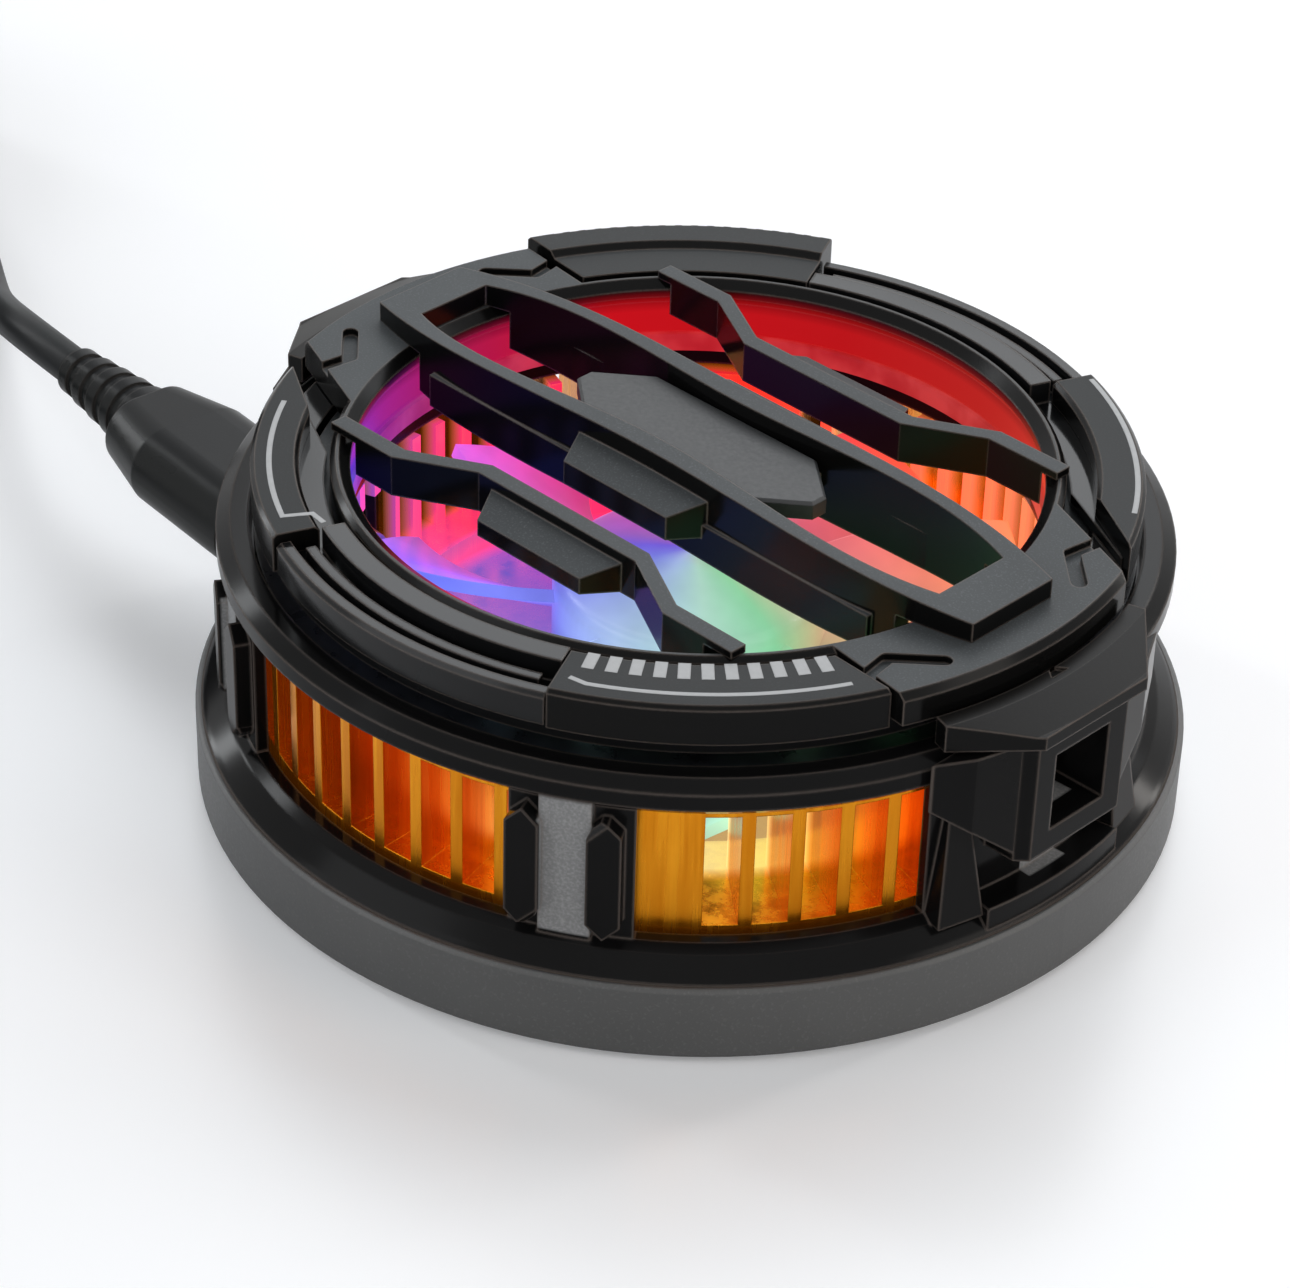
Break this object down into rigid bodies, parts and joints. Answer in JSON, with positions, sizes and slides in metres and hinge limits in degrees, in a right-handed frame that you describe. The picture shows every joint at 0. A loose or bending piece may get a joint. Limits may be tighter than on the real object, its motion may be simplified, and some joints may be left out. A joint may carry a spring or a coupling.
{
  "type": "phone cooling fan",
  "caption": "Round thermoelectric phone cooler with an open grilled fan, a finned heat sink, a turning mode ring, clip slots and a put-away cord.",
  "frame": {"origin": "centre of the contact face that lies on the phone, on the fan's axis", "axes": "+Z away from the phone along the fan's axis, +X towards the lug with the arrow, +Y towards the knurled grip's side"},
  "size_m": [0.1836, 0.0883, 0.0275],
  "materials": {
    "black_plastic": "fine satin grain",
    "black_gloss": "glossy",
    "badge_dark": "dark grey satin",
    "gold_anodised": "gold anodised",
    "aluminium": "fine turned",
    "silicone": "soft matt",
    "steel": "bright",
    "magnet": "nickel plated",
    "ceramic": "white ceramic",
    "foam": "closed-cell foam",
    "board": "solder mask",
    "lamp": "lamp package",
    "chip": "moulded package",
    "milky": "milky translucent",
    "copper": "enamelled winding",
    "bronze": "sintered",
    "cord_black": "soft jacket",
    "tongue": "moulded"
  },
  "bodies": {
    "housing": {"cold_plate": "aluminium", "contact_pad": "silicone", "base_shell": "black_plastic", "ring_magnets": "magnet", "magnet_shunt": "steel", "peltier_cold_ceramic": "ceramic", "peltier_legs": "steel", "peltier_hot_ceramic": "ceramic", "insulation_frame": "foam", "heat_sink": "gold_anodised", "cage": "black_plastic", "usb_socket_shell": "steel", "usb_socket_tongue": "tongue", "port_board": "board", "control_board": "board", "lamp_chips": "lamp", "board_chips": "chip", "mode_switch": "steel", "light_ring": "milky", "top_cover": "black_plastic", "front_lug_plate": "black_plastic", "rear_lug_plate": "black_plastic", "grille_frame": "black_plastic", "grille_side_bars": "black_plastic", "badge_plate": "badge_dark", "cover_screws": "steel", "base_screws": "steel", "motor_bracket": "steel", "sleeve_bearing": "bronze", "stator_core": "steel", "stator_coils": "copper", "usb_plug_shell": "steel", "usb_plug_body": "cord_black", "cord_boot": "cord_black", "cord_run": "cord_black", "cord_coil": "cord_black", "coil_tie": "silicone", "cord_tail": "cord_black", "usb_a_shell": "steel", "usb_a_body": "cord_black", "usb_a_tongue": "tongue"},
    "fan": {"impeller": "milky", "rotor_yoke": "steel", "rotor_magnet": "chip", "fan_shaft": "steel"},
    "ring": {"mode_ring": "black_gloss", "scale_panel": "black_plastic", "left_panel": "black_plastic", "right_panel": "black_plastic", "grip_panel": "black_plastic", "switch_slider": "tongue"}
  },
  "joints": [
    {"name": "fan_spin", "type": "hinge", "parent": "housing", "child": "fan", "pos_m": [0, 0, 0.0105], "axis": [0, 0, 1], "continuous": true},
    {"name": "mode_ring_turn", "type": "hinge", "parent": "housing", "child": "ring", "pos_m": [0, 0, 0.0225], "axis": [0, 0, 1], "range_deg": [-4.4, 0]}
  ]
}
